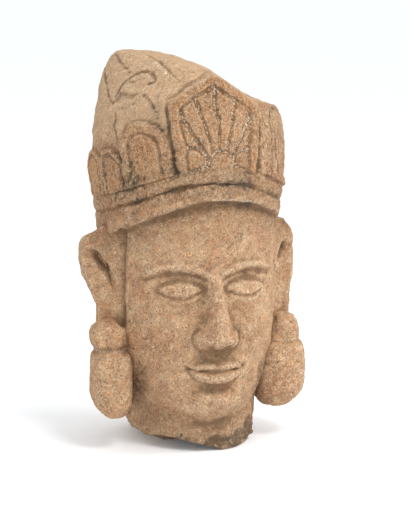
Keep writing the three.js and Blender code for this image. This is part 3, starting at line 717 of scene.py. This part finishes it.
class Wire:
    """A shader socket that can be written as arithmetic. Every operator adds one Math node."""

    def __init__(self, tree, socket):
        self.tree, self.socket = tree, socket

    def make(self, kind, settings, sockets, out=0):
        """Adds any node: its type, its settings, then what goes into its sockets, by name or number."""
        node = self.tree.nodes.new(kind)
        for name, value in settings.items():
            setattr(node, name, value)
        for key, value in sockets.items():
            if isinstance(value, Wire):
                self.tree.links.new(value.socket, node.inputs[key])
            else:
                node.inputs[key].default_value = value
        return Wire(self.tree, node.outputs[out])

    def math(self, operation, *values):
        """Adds one Math node."""
        return self.make("ShaderNodeMath", {"operation": operation}, dict(enumerate(values)))

    def __add__(self, other):
        return self.math("ADD", self, other)

    def __sub__(self, other):
        return self.math("SUBTRACT", self, other)

    def __rsub__(self, other):
        return self.math("SUBTRACT", other, self)

    def __mul__(self, other):
        return self.math("MULTIPLY", self, other)

    __radd__, __rmul__ = __add__, __mul__

    def ramp(self, low, high):
        """A smooth step from 0 at low to 1 at high."""
        return self.make("ShaderNodeMapRange", {"interpolation_type": "SMOOTHSTEP"},
                         {"Value": self, "From Min": low, "From Max": high})

    def noise(self, scale, detail=2.0, roughness=0.55):
        """Noise from 0 to 1 at this vector, with so many features in a metre."""
        return self.make("ShaderNodeTexNoise", {},
                         {"Vector": self, "Scale": scale, "Detail": detail, "Roughness": roughness})

    def blend(self, other, amount):
        """This colour turned into the other by an amount."""
        return self.make("ShaderNodeMix", {"data_type": "RGBA"}, {0: amount, 6: self, 7: other},
                         out=MIXED_COLOUR)

    def scaled(self, amount):
        """This colour made lighter or darker."""
        return self.make("ShaderNodeVectorMath", {"operation": "SCALE"}, {0: self, "Scale": amount})


# The stone's colours. It is tan with buff, pink and orange patches, paler where it is rubbed, brown with dirt
# and painted shade in the recesses, with painted shade along the cut lines, in the broad hollows, in the ear
# seams, beside the balls and below the chin and the band, chalky specks in the lines, painted highlights
# along the marks and the band's lip, and soot in some hollows.
TAN = (0.37, 0.218, 0.122, 1)
BUFF = (0.46, 0.306, 0.182, 1)
ORANGE = (0.42, 0.19, 0.065, 1)
PINK = (0.34, 0.165, 0.09, 1)
PALE = (0.66, 0.53, 0.38, 1)
BROWN = (0.13, 0.072, 0.036, 1)
SOOT = (0.06, 0.047, 0.033, 1)

stone = bpy.data.materials.new("sandstone")
stone.use_nodes = True
tree = stone.node_tree
shader = tree.nodes["Principled BSDF"]
start = Wire(tree, None)
place = start.make("ShaderNodeTexCoord", {}, {}, out=OBJECT_COORDINATES)


def layer(name):
    """One of the mesh's own attributes."""
    return start.make("ShaderNodeAttribute", {"attribute_name": name}, {}, out=ATTRIBUTE_VALUE)


def plain(colour):
    """A colour as a socket."""
    rgb = start.make("ShaderNodeRGB", {}, {})
    rgb.socket.default_value = colour
    return rgb


patches, mottle = place.noise(35), place.noise(110, 3)
grains, dust = place.noise(800, 4), place.noise(1700, 2)
freckle, coarse, specks = place.noise(330, 3), place.noise(210, 2), place.noise(560, 1)
carved, line, recess = layer("carved"), layer("line"), layer("recess")
colour = plain(TAN).blend(BUFF, mottle.ramp(0.35, 0.7))
colour = colour.blend(PINK, patches.ramp(0.5, 0.7) * 0.55)
colour = colour.blend(ORANGE, layer("warm") * (coarse.ramp(0.4, 0.6) * 0.4 + mottle.ramp(0.45, 0.62) * 0.3))
colour = colour.blend(ORANGE, freckle.ramp(0.5, 0.68) * 0.3)
colour = colour.blend(BUFF, layer("bare") * 0.75)
rubbed = 1 - recess.ramp(0.1, 0.5)
colour = colour.blend(PALE, rubbed * grains.ramp(0.35, 0.65) * 0.35)
# Painted shade darkens the broad hollows. Brown in the small recesses is partly dirt and partly painted
# shade.
recesses = recess.ramp(0.54, 0.9)
colour = colour.blend(BROWN, layer("hollow_shade").ramp(0.55, 0.95) * 0.5)
colour = colour.blend(BROWN, recesses * grains.ramp(0.3, 0.6) * 0.55)
weathered = coarse.ramp(0.45, 0.66) * freckle.ramp(0.4, 0.58) * 0.6 + grains.ramp(0.5, 0.7) * 0.25
colour = colour.blend(BROWN, carved * weathered)
# Painted shade along the cut lines.
colour = colour.blend(BROWN, line.ramp(0.35, 0.95) * freckle.ramp(0.35, 0.6) * 0.7)
# Painted shade in the ear seams, beside the balls, below the chin and below the band, with the band's darker
# tone, mottled.
shade_mottling = 0.05 + mottle.ramp(0.3, 0.7) * 0.35 + freckle.ramp(0.42, 0.6) * 0.7
colour = colour.blend(BROWN, layer("shade_and_band_tone") * shade_mottling * 0.75)
colour = colour.blend(BROWN, layer("dark").ramp(0.32, 0.85) * grains.ramp(0.3, 0.55) * 0.8)
colour = colour.blend(BROWN, specks.ramp(0.64, 0.74) * (1 - layer("bare") * 0.6) * 0.65)
grime = layer("stains") * (0.6 + recesses) * freckle.ramp(0.25, 0.65) * grains.ramp(0.2, 0.65)
colour = colour.blend(SOOT, grime.ramp(0.02, 0.42) * 0.75)
# Chalky specks down the middle of the cut lines, with painted highlights along the marks' edges and the
# band's lip, and a pale line just above each drop's seam.
chalk_and_highlight = line.ramp(0.72, 0.97) * grains.ramp(0.32, 0.62) * 0.8 + layer("pale") * grains.ramp(0.3, 0.55)
colour = colour.blend(PALE, chalk_and_highlight.ramp(0.1, 0.9) * 0.65)
speckle = (grains - 0.5) * 1.0 + (dust - 0.5) * 1.7 + (freckle - 0.5) * 0.5 + (coarse - 0.5) * 0.5
colour = colour.scaled((1 + speckle * (1.2 + carved * 0.4 - layer("bare") * 0.3)) * (1 - carved * 0.08))
tree.links.new(colour.socket, shader.inputs["Base Color"])
tree.links.new((0.86 + mottle * 0.12).socket, shader.inputs["Roughness"])
shader.inputs["Specular IOR Level"].default_value = 0.25
height = grains * 0.6 + dust * 0.35 + freckle * 0.8
bump = start.make("ShaderNodeBump", {}, {"Strength": 0.6, "Distance": 0.0009, "Height": height})
tree.links.new(bump.socket, shader.inputs["Normal"])
joined.materials.clear()
joined.materials.append(stone)

# The stage: a white floor that runs into a white room, a soft light from high in front and a weaker one
# from the right. The head stands on the floor by its own weight.
floor_mesh = bpy.data.meshes.new("floor")
FLOOR = 60
corners = [(-FLOOR, -FLOOR, 0), (FLOOR, -FLOOR, 0), (FLOOR, FLOOR, 0), (-FLOOR, FLOOR, 0)]
floor_mesh.from_pydata(corners, [], [(0, 1, 2, 3)])
floor = bpy.data.objects.new("floor", floor_mesh)
bpy.context.scene.collection.objects.link(floor)
paper = bpy.data.materials.new("paper")
paper.use_nodes = True
paper_look = {"Base Color": (0.955, 0.96, 0.965, 1), "Roughness": 1.0,
              "Emission Color": (0.8, 0.92, 1, 1), "Emission Strength": 0.06}
for socket, value in paper_look.items():
    paper.node_tree.nodes["Principled BSDF"].inputs[socket].default_value = value
floor_mesh.materials.append(paper)

world = bpy.data.worlds.new("studio")
world.use_nodes = True
backdrop = world.node_tree.nodes["Background"]
backdrop.inputs["Color"].default_value = (0.965, 0.985, 1, 1)
backdrop.inputs["Strength"].default_value = 1.0
bpy.context.scene.world = world
bpy.context.scene.view_settings.view_transform = "Standard"

AZIMUTH, ELEVATION = math.radians(-19.5), math.radians(9.0)
DISTANCE = 1.3
PIXEL = 0.67 * MM
PICTURE_HEIGHT = 523
MIDDLE_OF_HEAD = np.array([0, 0, 0.1265])
MOVED_RIGHT, MOVED_DOWN = 19, 11.5
SENSOR = 36
view_back = np.array([math.sin(AZIMUTH) * math.cos(ELEVATION), -math.cos(AZIMUTH) * math.cos(ELEVATION),
                      math.sin(ELEVATION)])
view_right = np.array([math.cos(AZIMUTH), math.sin(AZIMUTH), 0])
view_up = np.cross(view_back, view_right)
target = MIDDLE_OF_HEAD + view_right * MOVED_RIGHT * PIXEL - view_up * MOVED_DOWN * PIXEL


def aim(thing, back, distance):
    """Puts a camera or a light at a distance from the target, looking at it."""
    right = Vector(np.cross((0, 0, 1), back)).normalized()
    up = Vector(back).cross(right)
    turned = Matrix((right, up, Vector(back))).transposed().to_4x4()
    turned.translation = Vector(target + np.array(back) * distance)
    thing.matrix_world = turned


camera = bpy.data.objects.new("camera", bpy.data.cameras.new("camera"))
bpy.context.scene.collection.objects.link(camera)
aim(camera, view_back, DISTANCE)
camera.data.sensor_width = SENSOR
camera.data.lens = SENSOR / (PICTURE_HEIGHT * PIXEL / DISTANCE)
bpy.context.scene.camera = camera


def softbox(name, azimuth, elevation, distance, size, power):
    """A square soft light that looks at the head from a direction."""
    lamp = bpy.data.objects.new(name, bpy.data.lights.new(name, "AREA"))
    lamp.data.size, lamp.data.energy = size, power
    bpy.context.scene.collection.objects.link(lamp)
    a, e = math.radians(azimuth), math.radians(elevation)
    aim(lamp, np.array([math.sin(a) * math.cos(e), -math.cos(a) * math.cos(e), math.sin(e)]), distance)


softbox("key light", azimuth=12, elevation=50, distance=1.5, size=0.4, power=9)
softbox("side light", azimuth=66, elevation=32, distance=1.5, size=0.5, power=6)
